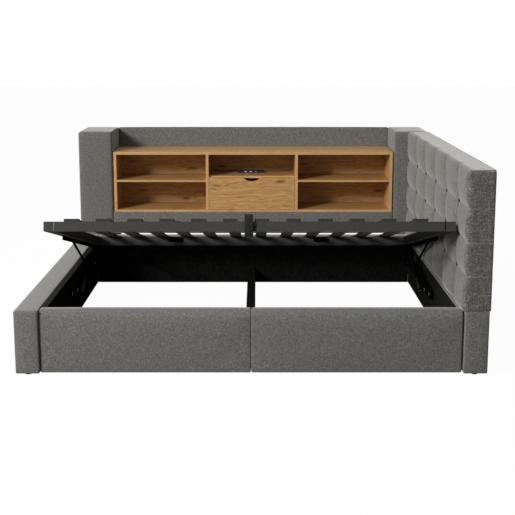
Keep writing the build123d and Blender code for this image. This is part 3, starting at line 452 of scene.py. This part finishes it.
# %% Weave the webbing
rib_pitch = 0.00493
band_distance = math.tau / 20
webbing, tree = new_material("polyester_webbing")
place = add_node(tree, "ShaderNodeTexCoord").outputs["Object"]
ribs = add_node(tree, "ShaderNodeTexWave",
                {"Vector": place, "Scale": band_distance / rib_pitch, "Distortion": 1.5, "Detail": 1.0},
                bands_direction="X")
specks = add_node(tree, "ShaderNodeTexNoise", {"Vector": place, "Scale": 1 / 0.006, "Detail": 2.0})
tone = add_node(tree, "ShaderNodeValToRGB", {"Fac": specks.outputs[0]}, [(0.3, "#181816"), (0.7, "#252422")])
bump = add_node(tree, "ShaderNodeBump", {"Height": ribs.outputs["Fac"], "Strength": 0.5, "Distance": 0.0006})
finish_material(tree, {"Base Color": tone.outputs[0], "Roughness": 0.85, "Specular IOR Level": 0.2,
                       "Sheen Weight": 0.1, "Sheen Roughness": 0.4, "Normal": bump.outputs[0]})
print("webbing woven:", webbing.name)

# %% [markdown]
# ## Dress the solids that keep their shape
# Boards, tubes, links and brackets are already right as solids. Each only gets the finish of the real
# piece on its material slot.

# %% Give the solids their finishes
finish_of = {
    lining_film: ["lining_left", "lining_right", "lining_front", "lining_rear"],
    frame_coat: ["side_rail_left", "side_rail_right", "platform_front_rail", "platform_cross_rail",
                 "platform_rear_rail", "rail_plug"],
    beam_coat: ["center_beam", "corner_brackets"],
    link_coat: ["joint_plates", "hinge_arm_left", "hinge_arm_right", "lift_bars", "base_plate_left",
                "base_plate_right", "lower_link_left", "lower_link_right", "upper_link_left",
                "upper_link_right"],
    zinc_plate: ["drawer_runners_fixed", "drawer_runners_moving"],
    nitrided_rod: ["strut_rod_left", "strut_rod_right"],
    strut_paint: ["strut_cylinder_left", "strut_cylinder_right"],
    holder_plastic: ["slat_holders", "strap_stud"],
    glide_plastic: ["glides"],
    hub_plastic: ["power_hub"],
    port_plastic: ["power_hub_ports"],
    slat_wood: ["slats"],
    pine_batten: ["bookcase_bearers"],
    oak_level: ["bookcase_top", "bookcase_bottom", "shelf_left", "shelf_right", "shelf_center",
                "drawer_bottom", "drawer_back"],
    oak_upright: ["bookcase_side_left", "bookcase_side_right", "divider_left", "divider_right",
                  "drawer_side_left", "drawer_side_right"],
    oak_front: ["bookcase_back", "drawer_front"],
}
for material, names in finish_of.items():
    for name in names:
        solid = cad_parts[name]
        solid.data.materials.clear()
        solid.data.materials.append(material)
print("solids dressed:", sum(len(names) for names in finish_of.values()))

# %% [markdown]
# ## Padded boards
# The arms, rails, posts and panels are boards wrapped in thin foam and cloth. Nothing on them is quite
# flat: the foam stands proud between the edges, and the cloth pulls tight round them. Each starts as a
# cube, is scaled to its solid's box, and has its edges bevelled to the radius of the foam. Then its long
# edges are cut into short ones, and the points between the edges are raised by a few millimetres. Where a
# board carries a black lining, the lower part of its inner face is set back behind that lining.


# %% Helpers for meshes
AXES = (Vector((1, 0, 0)), Vector((0, 1, 0)), Vector((0, 0, 1)))
TOUCH = 1e-5


def cut_across(mesh, axis, place, distance=0.0):
    """Cut the whole mesh at one place along an axis. Points within the distance count as on the cut."""
    bmesh.ops.bisect_plane(mesh, geom=mesh.verts[:] + mesh.edges[:] + mesh.faces[:], dist=distance,
                           plane_co=AXES[axis] * place, plane_no=AXES[axis])


def cut_long_edges(mesh, cell):
    """Cut the edges along each axis until no face is much longer than the cell."""
    for direction in AXES:
        edges = [e for e in mesh.edges
                 if e.calc_length() > 1.5 * cell
                 and abs((e.verts[1].co - e.verts[0].co).normalized().dot(direction)) > 0.999]
        if edges:
            longest = max(e.calc_length() for e in edges)
            cuts = max(1, round(longest / cell) - 1)
            bmesh.ops.subdivide_edges(mesh, edges=edges, cuts=cuts, use_grid_fill=True)


def round_edges(mesh, edges, radius, segments):
    """Bevel some edges to a round of this radius."""
    bmesh.ops.bevel(mesh, geom=edges, offset=radius, segments=segments, profile=0.5, affect="EDGES",
                    material=-1)


def sharp_edges(mesh, degrees):
    """The edges where two faces meet at more than an angle."""
    return [e for e in mesh.edges if len(e.link_faces) == 2 and e.calc_face_angle() > math.radians(degrees)]


def block(size, middle=(0, 0, 0)):
    """A mesh that holds one box."""
    mesh = bmesh.new()
    bmesh.ops.create_cube(mesh, size=1.0)
    bmesh.ops.scale(mesh, verts=mesh.verts, vec=size)
    bmesh.ops.translate(mesh, verts=mesh.verts, vec=middle)
    return mesh


def hand_over(mesh, name, body, materials):
    """Turn a finished bmesh into a smooth piece that rides on its body."""
    mesh.normal_update()
    data = bpy.data.meshes.new(name)
    mesh.to_mesh(data)
    mesh.free()
    for face in data.polygons:
        face.use_smooth = True
    for material in materials:
        data.materials.append(material)
    piece = bpy.data.objects.new(name, data)
    scene.collection.objects.link(piece)
    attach(piece, body)
    return piece


print("mesh helpers ready")


# %% Helpers for padded boards
def rebate(mesh, board_low, board_high, lining):
    """Set the lower part of a board's inner face back, so that its lining shows in the recess."""
    low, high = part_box(lining)
    thin = min(range(2), key=lambda i: high[i] - low[i])
    wide = 1 - thin
    step = 0.0004
    for axis, place, way in ((2, high.z, -1), (wide, low[wide], 1), (wide, high[wide], -1)):
        for shift in (0, way * step):
            cut_across(mesh, axis, place + shift)
    slack = step * 0.9
    towards_high = low[thin] > (board_low[thin] + board_high[thin]) / 2
    for point in mesh.verts:
        inside = (point.co.z <= high.z - slack
                  and low[wide] + slack <= point.co[wide] <= high[wide] - slack)
        if inside and towards_high:
            point.co[thin] = min(point.co[thin], low[thin])
        if inside and not towards_high:
            point.co[thin] = max(point.co[thin], high[thin])


def padded_board(name, node, radius, crown, flat=(), cell=0.03, lining=None, top_radius=None):
    """A board with rounded edges whose free faces stand proud by the crown. Faces named in flat stay flat."""
    low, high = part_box(node)
    size = high - low
    mesh = block(size, (low + high) / 2)
    if top_radius:
        rolled = [e for e in mesh.edges
                  if all(v.co.y < low.y + TOUCH and v.co.z > high.z - TOUCH for v in e.verts)]
        round_edges(mesh, rolled, top_radius, 8)
    round_edges(mesh, sharp_edges(mesh, 30), radius, 4)
    cut_long_edges(mesh, cell)
    if lining:
        rebate(mesh, low, high, lining)
    mesh.normal_update()
    moves = []
    for point in mesh.verts:
        normal = point.normal
        axis = max(range(3), key=lambda i: abs(normal[i]))
        side = "xyz"[axis] + ("+" if normal[axis] > 0 else "-")
        if abs(normal[axis]) < 0.9 or side in flat:
            continue
        fullness = 1.0
        for other in range(3):
            if other != axis:
                across = 2 * (point.co[other] - low[other]) / size[other] - 1
                fullness *= max(0.0, 1 - abs(across) ** 6)
        broad_ripple = noise.noise(point.co * 9.0) * 0.35
        fine_ripple = noise.noise(point.co * 22.0) * 0.15
        moves.append((point, normal * crown * fullness * (1 + broad_ripple + fine_ripple)))
    for point, move in moves:
        point.co += move
    return hand_over(mesh, name, "bed_base", [cover_cloth])


foam_frames = 20


def fill_with_foam(piece, held, pressure, cap):
    """Blow a padded piece up with the cloth simulation while the held points stay, and keep its shape."""
    group = piece.vertex_groups.new(name="held")
    group.add(held, 1.0, "REPLACE")
    filling = piece.modifiers.new("filling", "CLOTH")
    filling.collision_settings.use_collision = False
    cloth = filling.settings
    cloth.quality = 4
    cloth.mass = 0.3
    cloth.tension_stiffness = cloth.compression_stiffness = 5
    cloth.bending_stiffness = 4
    cloth.air_damping = 2
    cloth.use_pressure = True
    cloth.uniform_pressure_force = pressure
    cloth.vertex_group_mass = "held"
    cloth.effector_weights.gravity = 0
    for step in range(1, foam_frames + 1):
        scene.frame_set(step)
    blown = piece.evaluated_get(bpy.context.evaluated_depsgraph_get())
    moves = [after.co - before.co for after, before in zip(blown.data.vertices, piece.data.vertices)]
    piece.modifiers.remove(filling)
    for point, move in zip(piece.data.vertices, moves):
        if move.length > 0:
            point.co += move.normalized() * cap * math.tanh(move.length / cap)
    piece.vertex_groups.remove(group)
    scene.frame_set(1)
    return max(move.length for move in moves)


print("board helpers ready, foam settles in frames:", foam_frames)

# %% Wrap the boards of the base and the rear unit
for name, node, radius, crown, flat, lining in (
    ("arm_wrapped", "foot_end_panel", 0.006, 0.0018, ("x+", "y+", "z-"), "lining_left"),
    ("headboard_base_wrapped", "headboard_base", 0.006, 0.0018, ("x-", "y+", "z-", "z+"), "lining_right"),
    ("rear_rail_wrapped", "rear_rail", 0.006, 0.0015, ("x-", "x+", "y-", "y+", "z-"), "lining_rear"),
    ("post_left_wrapped", "post_left", 0.014, 0.0025, ("x+", "y+", "z-"), None),
    ("post_right_wrapped", "post_right", 0.014, 0.0025, ("x-", "y-", "y+", "z-"), None),
    ("backboard_wrapped", "backboard", 0.006, 0.0015, ("x-", "x+", "z-"), None),
    ("apron_wrapped", "apron", 0.006, 0.0015, ("x-", "x+", "y+", "z+"), None),
):
    board = padded_board(name, node, radius, crown, flat, lining=lining)
    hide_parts(node)
    print(name, "faces:", len(board.data.polygons))

# %% [markdown]
# ## Front panels
# The two front panels are fuller than the other boards: softer foam over a batten, with a wide round
# edge along the top and tight edges at the foot and the ends. They start like the boards, in a finer net.
# Then the cloth simulation blows each one up a little, held by its back, its foot and its ends, so the
# cloth is full in the middle and tight near the edges, as on real upholstery.

# %% Pad the front panels
panel_pressure = 0.2
panel_cap = 0.008
front_foam, foot_hem, end_hem = 0.034, 0.012, 0.007
for side in ("left", "right"):
    node = f"front_panel_{side}"
    low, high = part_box(node)
    panel = padded_board(f"{node}_padded", node, radius=0.006, crown=0.0015, flat=("y+", "z-"), cell=0.014,
                         top_radius=0.036)
    held = [point.index for point in panel.data.vertices
            if point.co.y > low.y + front_foam or point.co.z < low.z + foot_hem
            or min(point.co.x - low.x, high.x - point.co.x) < end_hem]
    lift = fill_with_foam(panel, held, panel_pressure, panel_cap)
    print("foam lifts the cloth by mm:", round(lift * 1000, 1))
    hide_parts(node)
    print(panel.name, "faces:", len(panel.data.polygons))

# %% [markdown]
# ## Tufted headboard
# Thick foam is pulled back by buttons on a regular grid, and the cloth between them is drawn into
# pleats, so each field of the grid swells into a pillow with steep sides. The pleats run on over the top
# as short creases. The quickest way to the shape of real tufting is to let the cloth find it: a block is
# cut into a fine net whose lines follow the pleats, its inner face is set back to the depth of the
# pleats and domed between them, and the cloth simulation blows the fields up. The pleats and a ring
# round each button are held, or the pillows would swallow the buttons.

# %% Measure the tufting
head_low, head_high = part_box("headboard_panel")
head_middle = (head_low + head_high) / 2
pleat_spacing = 0.362
row_spacing = 0.162
row_drop = 0.010
pleat_places = [head_middle.y + step * pleat_spacing for step in (-2, -1, 0, 1, 2)]
row_heights = [head_middle.z - row_drop + step * row_spacing for step in (-1, 0, 1)]
buttons = [(y, z) for y in pleat_places for z in row_heights]
pleat_depth = 0.027
soft_edge = 0.020
print("buttons:", len(buttons), "on", len(pleat_places), "pleats and", len(row_heights), "rows")

# %% Cut the block into a net
net_cell = 0.009
start_low = head_low + Vector((pleat_depth * 0.8, 0, 0))
mesh = block(head_high - start_low, (start_low + head_high) / 2)
soft_sides = []
for edge in mesh.edges:
    place = (edge.verts[0].co + edge.verts[1].co) / 2
    sides = [place.x < start_low.x + TOUCH, place.y < head_low.y + TOUCH, place.z > head_high.z - TOUCH]
    if sum(sides) == 2:
        soft_sides.append(edge)
round_edges(mesh, soft_sides, soft_edge, 4)
for axis, lines in ((0, [start_low.x + soft_edge]), (1, [head_low.y + soft_edge, *pleat_places]),
                    (2, [*row_heights, head_high.z - soft_edge])):
    for line in lines:
        cut_across(mesh, axis, line, TOUCH)
cut_long_edges(mesh, net_cell)
print("net faces:", len(mesh.faces))


# %% Dome the fields and sink the pleats
def distance_to(value, lines):
    """How far a value is from the nearest of some lines."""
    return min(abs(value - line) for line in lines)


def bowl(distance, width):
    """1 at the middle of a round hollow, fading to 0 away from it."""
    return math.exp(-(distance / width) ** 2)


dome_height, dome_fullness, foam_depth = 0.014, 2.4, 0.08
small_hollow, small_width = 0.004, 0.020
wide_hollow, wide_width = 0.006, 0.055
pleat_sink = 0.003
button_ring = 0.021
held = []
for point in mesh.verts:
    flat = point.co.copy()
    from_pleat = distance_to(flat.y, pleat_places)
    from_row = distance_to(flat.z, row_heights)
    across = min(1.0, from_pleat / (pleat_spacing / 2))
    along = min(1.0, from_row / (row_spacing / 2))
    dome = (1 - (1 - across) ** dome_fullness) * (1 - (1 - along) ** dome_fullness)
    point.co.x -= dome_height * dome * max(0.0, 1 - (flat.x - start_low.x) / foam_depth)
    inner = flat.x < start_low.x + TOUCH
    on_fold = from_pleat < TOUCH or from_row < TOUCH
    by_button = False
    if inner:
        nearest = min(math.hypot(flat.y - y, flat.z - z) for y, z in buttons)
        by_button = nearest < button_ring
        point.co.x += small_hollow * bowl(nearest, small_width) + wide_hollow * bowl(nearest, wide_width)
        if on_fold:
            point.co.x += pleat_sink
    behind = not inner and flat.x > start_low.x + soft_edge * 1.5
    fixed_side = flat.z < head_low.z + TOUCH or flat.y > head_high.y - TOUCH
    if behind or fixed_side or on_fold or by_button:
        held.append(point)
mesh.verts.index_update()
held = [point.index for point in held]
headboard = hand_over(mesh, "headboard_tufted", "bed_base", [headboard_cloth])
print("net points:", len(headboard.data.vertices), "held:", len(held))

# %% Fill the headboard
head_pressure = 6
head_cap = 0.020
bulge = 0.002
crease_depth, crease_width, crease_length = 0.003, 0.006, 0.07
top_band = 0.004
rise = fill_with_foam(headboard, held, head_pressure, head_cap)
print("pillows rise by mm:", round(rise * 1000, 1))
for point in headboard.data.vertices:
    point.co.x = max(point.co.x, head_low.x - bulge)
    point.co.y = max(point.co.y, head_low.y - bulge)
    point.co.z = min(point.co.z, head_high.z + bulge)
    if point.co.z > head_high.z - top_band:
        fade = max(0.0, 1 - (point.co.x - head_low.x) / crease_length)
        point.co.z -= crease_depth * fade * bowl(distance_to(point.co.y, pleat_places), crease_width)
print("creases over the top:", len(pleat_places))

# %% [markdown]
# Across the front end of the headboard the rows show as seams, where the cloth of one row is folded
# under and laid on the row above. The end is cut just under and just over each seam, and the cloth under
# it is drawn forwards, most at the seam and less further down, so a small step with a shadow is left.

# %% Fold the seams across the front end
seam_step, seam_fade, seam_top = 0.0028, 0.014, 0.0005
cut_under, cut_over = -0.0035, 0.001
end_band = 0.012
lowest_seam = 0.075
mesh = bmesh.new()
mesh.from_mesh(headboard.data)
seam_heights = [*row_heights, head_low.z + lowest_seam]
for height in seam_heights:
    for shift in (cut_under, cut_over):
        end = [face for face in mesh.faces if face.calc_center_median().y < head_low.y + end_band]
        parts = {part for face in end for part in (*face.verts, *face.edges, face)}
        bmesh.ops.bisect_plane(mesh, geom=list(parts), dist=1e-6, plane_co=(0, 0, height + shift),
                               plane_no=(0, 0, 1))
for point in mesh.verts:
    for height in seam_heights:
        below = height + seam_top - point.co.z
        if point.co.y < head_low.y + end_band and below > 0:
            point.co.y -= seam_step * math.exp(-below / seam_fade)
mesh.normal_update()
mesh.to_mesh(headboard.data)
mesh.free()
for face in headboard.data.polygons:
    face.use_smooth = True
print("seams folded:", len(seam_heights))
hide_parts("headboard_panel")
print("headboard faces:", len(headboard.data.polygons))

# %% [markdown]
# The buttons are tin caps covered with cloth: a low dome with a rim that the cloth turns under. Their
# cloth is dark as painted shade, for the shadow that lies in the hollow round each button.
# Each is a short cone whose top is narrowed and whose edges are bevelled. A cone is made upright, so it
# is turned until its narrow end looks to the middle of the bed.


# %% Cover the buttons
def short_cone(mesh, wide, narrow, height, segments):
    """Add a short cone, or a cylinder where both radii are the same, and return its points."""
    return bmesh.ops.create_cone(mesh, cap_ends=True, cap_tris=False, segments=segments, radius1=wide,
                                 radius2=narrow, depth=height)["verts"]


button_wide, button_narrow, button_height = 0.0125, 0.0095, 0.006
button_seat = 0.0075
narrow_end_left = Matrix.Rotation(math.radians(-90), 4, "Y")
mesh = bmesh.new()
for y, z in buttons:
    cap = short_cone(mesh, button_wide, button_narrow, button_height, 24)
    bmesh.ops.rotate(mesh, verts=cap, cent=(0, 0, 0), matrix=narrow_end_left)
    bmesh.ops.translate(mesh, verts=cap, vec=(start_low.x + button_seat, y, z))
round_edges(mesh, sharp_edges(mesh, 40), 0.0025, 3)
caps = hand_over(mesh, "covered_buttons", "bed_base", [button_cloth_painted_shade])
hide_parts("headboard_buttons")
print("button faces:", len(caps.data.polygons))

# %% [markdown]
# ## Pull strap
# A loop of webbing goes round the front rail, and the platform is lifted by it. Its ends lie over each
# other in front and are sewn together. The loop starts as a block of the loop's size: the four corners
# across the width are rounded, both ends are taken off, and the sheet that is left gets its thickness.

# %% Close the loop
photo_tilt_degrees = -13
strap_low, strap_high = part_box("pull_strap")
strap_middle = (strap_low + strap_high) / 2


def tilt_with_platform(mesh, middle):
    """Turn a mesh made round the origin to the slope of the platform, and move it to its place."""
    slope = Matrix.Rotation(math.radians(photo_tilt_degrees), 4, "X")
    bmesh.ops.rotate(mesh, verts=mesh.verts, cent=(0, 0, 0), matrix=slope)
    bmesh.ops.translate(mesh, verts=mesh.verts, vec=middle)


strap_width, strap_depth, strap_height = 0.042, 0.068, 0.116
strap_corner = 0.030
mesh = block((strap_width, strap_depth, strap_height))
corners = [e for e in mesh.edges if abs(e.verts[0].co.x - e.verts[1].co.x) > strap_width / 2]
round_edges(mesh, corners, strap_corner, 8)
ends = [face for face in mesh.faces if abs(face.normal.x) > 0.9]
bmesh.ops.delete(mesh, geom=ends, context="FACES_ONLY")
tilt_with_platform(mesh, strap_middle)
strap = hand_over(mesh, "webbing_loop", "platform", [webbing])
thickness = strap.modifiers.new("thickness", "SOLIDIFY")
thickness.thickness = 0.003
thickness.offset = -1
edges = strap.modifiers.new("rolled_edges", "BEVEL")
edges.width = 0.0008
edges.segments = 2
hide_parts("pull_strap")
print("loop faces:", len(strap.data.polygons))

# %% Lay the ends over each other
strap_front = -strap_depth / 2
overlap_thickness, overlap_height = 0.002, 0.034
overlap_out, overlap_down = 0.0008, 0.004
mesh = block((strap_width, overlap_thickness, overlap_height))
round_edges(mesh, mesh.edges[:], 0.0007, 2)
bmesh.ops.translate(mesh, verts=mesh.verts, vec=(0, strap_front - overlap_out, -overlap_down))
tilt_with_platform(mesh, strap_middle)
overlap = hand_over(mesh, "webbing_overlap", "platform", [webbing])
print("overlap laid, mm high:", round(overlap_height * 1000))

# %% Sew the overlap
stitches_a_side = 9
stitch_length, thread_radius, thread_out = 0.0028, 0.0005, 0.0019
seam_left, seam_right, seam_low, seam_high = -0.018, 0.018, -0.019, 0.011
first_across, step_across, step_upwards = -0.017, 0.00425, 0.00375
lying = Matrix.Rotation(math.pi / 2, 4, "Y")
mesh = bmesh.new()
for step in range(stitches_a_side):
    x = first_across + step * step_across
    z = seam_low + step * step_upwards
    for place_x, place_z, is_lying in ((x, seam_low, True), (x, seam_high, True),
                                       (seam_left, z, False), (seam_right, z, False)):
        stitch = short_cone(mesh, thread_radius, thread_radius, stitch_length, 6)
        if is_lying:
            bmesh.ops.rotate(mesh, verts=stitch, cent=(0, 0, 0), matrix=lying)
        bmesh.ops.translate(mesh, verts=stitch, vec=(place_x, strap_front - thread_out, place_z))
tilt_with_platform(mesh, strap_middle)
stitches = hand_over(mesh, "webbing_stitches", "platform", [sewing_thread])
print("stitches:", 4 * stitches_a_side)

# %% [markdown]
# ## Small bright fixings
# Zinc-plated washers lie under the studs of the linkage, and a rivet head shows on the tab that carries
# the links on each side of the platform. They are the only light spots on the black linkage. A washer is
# its square section spun round the stud, and a rivet head is a short cone with rounded edges. The seat
# of each is read from the solid that carries it.


# %% Set the washers
def face_towards_middle(node, side, y, z, reach):
    """The face of a solid nearest the middle of the bed, within reach of a point on its side."""
    return side * max(side * point.co.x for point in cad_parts[node].data.vertices
                      if math.hypot(point.co.y - y, point.co.z - z) < reach)


towards_middle = {"left": 1, "right": -1}
stud_places = ((0.647, 0.168), (-0.0755, 0.1525), (-0.253, 0.168))
washer_hole, washer_rim = 0.0078, 0.0098
washer_seat, washer_face = 0.0001, 0.0014
washer_section = ((washer_seat, washer_hole), (washer_seat, washer_rim),
                  (washer_face, washer_rim), (washer_face, washer_hole))
mesh = bmesh.new()
for name, side in towards_middle.items():
    plate = f"base_plate_{name}"
    plate_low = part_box(plate)[0]
    plate_face = face_towards_middle(plate, side, plate_low.y, stud_places[0][1], 0.03)
    for y, z in stud_places:
        section = [mesh.verts.new((plate_face + side * out, y, z + radius)) for out, radius in washer_section]
        rim = [mesh.edges.new((section[i], section[(i + 1) % 4])) for i in range(4)]
        bmesh.ops.spin(mesh, geom=section + rim, cent=(0, y, z), axis=(1, 0, 0), angle=math.tau, steps=24,
                       use_merge=True)
bmesh.ops.recalc_face_normals(mesh, faces=mesh.faces)
washers = hand_over(mesh, "plate_washers", "bed_base", [zinc_plate])
print("washer faces:", len(washers.data.polygons))

# %% Set the rivets
tab_y, tab_z = -0.2485, 0.4702
rivet_wide, rivet_narrow, rivet_height = 0.0056, 0.0042, 0.0014
rivet_seat = 0.0008
for name, side in towards_middle.items():
    face = face_towards_middle("lift_bars", side, tab_y, tab_z, 0.009)
    mesh = bmesh.new()
    short_cone(mesh, rivet_wide, rivet_narrow, rivet_height, 20)
    round_edges(mesh, sharp_edges(mesh, 40), 0.0005, 2)
    turn = Matrix.Rotation(side * math.pi / 2, 4, "Y")
    bmesh.ops.rotate(mesh, verts=mesh.verts, cent=(0, 0, 0), matrix=turn)
    bmesh.ops.translate(mesh, verts=mesh.verts, vec=(face + side * rivet_seat, tab_y, tab_z))
    rivet = hand_over(mesh, f"tab_rivet_{name}", "platform", [zinc_plate])
    print("rivet set:", rivet.name)

# %% [markdown]
# The front rail is welded between the side rails. The joint shows as a light line at the left corner and
# a dark line at the right one: the left bead is pale grey as a painted highlight where it catches the lamp,
# and the right one takes the black coat as painted shade.

# %% Draw the corner joints
bead_radius, bead_length = 0.0018, 0.0430
rail_front = -0.0252
rail_low, rail_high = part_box("platform_front_rail")
rail_middle = (rail_low + rail_high) / 2
# The left bead gets the painted highlight, the right one the black coat as painted shade.
for name, x, finish in (("left", rail_low.x, bead_painted_highlight), ("right", rail_high.x, link_coat)):
    mesh = bmesh.new()
    short_cone(mesh, bead_radius, bead_radius, bead_length, 10)
    round_edges(mesh, sharp_edges(mesh, 60), 0.0008, 2)
    bmesh.ops.translate(mesh, verts=mesh.verts, vec=(0, rail_front, 0))
    tilt_with_platform(mesh, Vector((x, rail_middle.y, rail_middle.z)))
    bead = hand_over(mesh, f"corner_joint_{name}", "platform", [finish])
    print("joint drawn:", bead.name)
